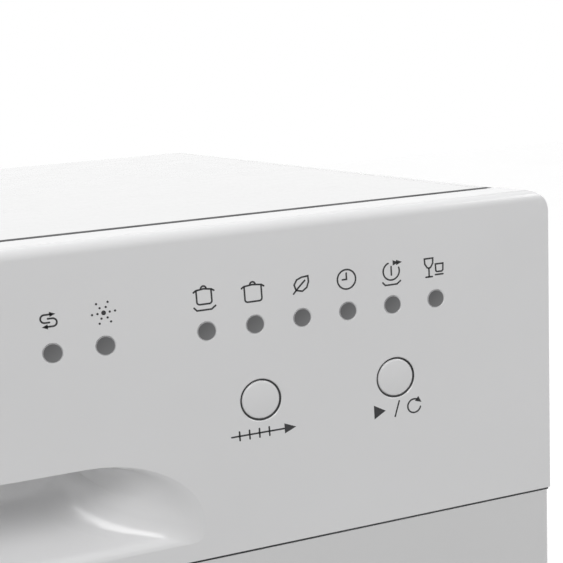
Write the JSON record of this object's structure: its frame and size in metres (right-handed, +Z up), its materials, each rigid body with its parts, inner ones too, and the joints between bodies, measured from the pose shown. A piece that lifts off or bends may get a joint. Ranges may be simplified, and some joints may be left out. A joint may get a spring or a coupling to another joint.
{
  "type": "countertop dishwasher",
  "caption": "Compact dishwasher for a worktop: white cabinet, drop-down door with a control console and scooped handle, stainless tub, spray arm and a wheeled wire rack.",
  "frame": {"origin": "middle of the footprint, on the worktop", "axes": "+X to the right as seen from the front, +Y to the back, +Z up"},
  "size_m": [0.55, 0.5, 0.438],
  "materials": {
    "white_enamel": "gloss",
    "white_plastic": "gloss",
    "stainless": "satin",
    "zinc_steel": "satin",
    "grey_plastic": "satin",
    "pale_plastic": "gloss",
    "dark_plastic": "matt",
    "lens_smoke": "gloss",
    "board_green": "satin",
    "rubber": "matt",
    "rack_coating": "satin"
  },
  "bodies": {
    "cabinet": {"base_tray": "dark_plastic", "kick_plate": "white_enamel", "side_panel_left": "white_enamel", "side_panel_right": "white_enamel", "top_cover": "white_enamel", "back_panel": "white_enamel", "tub": "stainless", "front_frame": "white_enamel", "tub_seal": "rubber", "door_striker": "zinc_steel", "hinge_bracket_left": "zinc_steel", "hinge_bracket_right": "zinc_steel", "sump": "grey_plastic", "filter_plate": "stainless", "spray_hub": "grey_plastic", "wash_pump": "dark_plastic", "drain_pump": "dark_plastic", "water_heater": "zinc_steel", "softener": "grey_plastic", "inlet_valve": "dark_plastic", "drain_outlet": "grey_plastic", "air_break": "grey_plastic", "pressure_switch": "dark_plastic", "power_module": "dark_plastic", "cord_gland": "dark_plastic", "panel_screws": "zinc_steel"},
    "door": {"console": "white_plastic", "control_board": "board_green", "indicator_lenses": "lens_smoke", "door_panel": "white_enamel", "inner_door": "stainless", "sill_seal": "rubber", "hinge_arm_left": "zinc_steel", "hinge_arm_right": "zinc_steel", "dispenser_body": "grey_plastic", "door_latch": "dark_plastic"},
    "rack": {"rack_floor": "rack_coating", "rack_side_left": "rack_coating", "rack_side_right": "rack_coating", "rack_ends": "rack_coating", "plate_tines": "rack_coating", "rack_handle": "grey_plastic", "cutlery_basket": "grey_plastic"},
    "foot_front_left": {"foot_front_left": "rubber"},
    "foot_front_right": {"foot_front_right": "rubber"},
    "foot_back_left": {"foot_back_left": "rubber"},
    "foot_back_right": {"foot_back_right": "rubber"},
    "spray_arm": {"spray_arm": "grey_plastic"},
    "filter_cup": {"filter_cup": "grey_plastic"},
    "salt_cap": {"salt_cap": "pale_plastic"},
    "power_button": {"power_button": "white_plastic"},
    "program_button": {"program_button": "white_plastic"},
    "start_button": {"start_button": "white_plastic"},
    "detergent_lid": {"detergent_lid": "pale_plastic"},
    "rinse_aid_cap": {"rinse_aid_cap": "dark_plastic"},
    "cup_shelf": {"cup_shelf": "rack_coating"},
    "wheel_front_left": {"wheel_front_left": "grey_plastic"},
    "wheel_front_right": {"wheel_front_right": "grey_plastic"},
    "wheel_back_left": {"wheel_back_left": "grey_plastic"},
    "wheel_back_right": {"wheel_back_right": "grey_plastic"}
  },
  "joints": [
    {"name": "door_hinge", "type": "hinge", "parent": "cabinet", "child": "door", "pos_m": [0, -0.231, 0.048], "axis": [1, 0, 0], "range_deg": [0, 90]},
    {"name": "rack_slide", "type": "slide", "parent": "cabinet", "child": "rack", "axis": [0, -1, 0], "range_m": [0, 0.134]},
    {"name": "foot_front_left_thread", "type": "hinge", "parent": "cabinet", "child": "foot_front_left", "pos_m": [-0.225, -0.195, 0.02], "axis": [0, 0, 1], "continuous": true},
    {"name": "foot_back_left_thread", "type": "hinge", "parent": "cabinet", "child": "foot_back_left", "pos_m": [-0.225, 0.205, 0.02], "axis": [0, 0, 1], "continuous": true},
    {"name": "foot_front_right_thread", "type": "hinge", "parent": "cabinet", "child": "foot_front_right", "pos_m": [0.225, -0.195, 0.02], "axis": [0, 0, 1], "continuous": true},
    {"name": "foot_back_right_thread", "type": "hinge", "parent": "cabinet", "child": "foot_back_right", "pos_m": [0.225, 0.205, 0.02], "axis": [0, 0, 1], "continuous": true},
    {"name": "spray_arm_spin", "type": "hinge", "parent": "cabinet", "child": "spray_arm", "pos_m": [0, 0, 0.092], "axis": [0, 0, 1], "continuous": true},
    {"name": "filter_cup_twist", "type": "hinge", "parent": "cabinet", "child": "filter_cup", "pos_m": [0, -0.05, 0.06], "axis": [0, 0, 1], "range_deg": [0, 90]},
    {"name": "salt_cap_twist", "type": "hinge", "parent": "cabinet", "child": "salt_cap", "pos_m": [-0.16, -0.142, 0.07], "axis": [0, 0, 1], "range_deg": [0, 360]},
    {"name": "power_press", "type": "slide", "parent": "door", "child": "power_button", "axis": [0, 1, 0], "range_m": [0, 0.0015], "stiffness_N_per_m": 800},
    {"name": "program_press", "type": "slide", "parent": "door", "child": "program_button", "axis": [0, 1, 0], "range_m": [0, 0.0015], "stiffness_N_per_m": 800},
    {"name": "start_press", "type": "slide", "parent": "door", "child": "start_button", "axis": [0, 1, 0], "range_m": [0, 0.0015], "stiffness_N_per_m": 800},
    {"name": "detergent_lid_hinge", "type": "hinge", "parent": "door", "child": "detergent_lid", "pos_m": [0.047, -0.2018, 0.258], "axis": [-1, 0, 0], "range_deg": [0, 95]},
    {"name": "rinse_aid_cap_twist", "type": "hinge", "parent": "door", "child": "rinse_aid_cap", "pos_m": [0.123, -0.2, 0.298], "axis": [0, 1, 0], "range_deg": [0, 90]},
    {"name": "cup_shelf_hinge", "type": "hinge", "parent": "rack", "child": "cup_shelf", "pos_m": [-0.202, -0.01, 0.226], "axis": [0, -1, 0], "range_deg": [0, 88]},
    {"name": "wheel_front_left_spin", "type": "hinge", "parent": "rack", "child": "wheel_front_left", "pos_m": [-0.21, -0.10467, 0.0896], "axis": [1, 0, 0], "continuous": true},
    {"name": "wheel_back_left_spin", "type": "hinge", "parent": "rack", "child": "wheel_back_left", "pos_m": [-0.21, 0.11267, 0.0896], "axis": [1, 0, 0], "continuous": true},
    {"name": "wheel_front_right_spin", "type": "hinge", "parent": "rack", "child": "wheel_front_right", "pos_m": [0.21, -0.10467, 0.0896], "axis": [1, 0, 0], "continuous": true},
    {"name": "wheel_back_right_spin", "type": "hinge", "parent": "rack", "child": "wheel_back_right", "pos_m": [0.21, 0.11267, 0.0896], "axis": [1, 0, 0], "continuous": true}
  ],
  "couplings": [
    {"joint": "rack_slide", "follows": "door_hinge", "m_per_rad": 0.085}
  ]
}
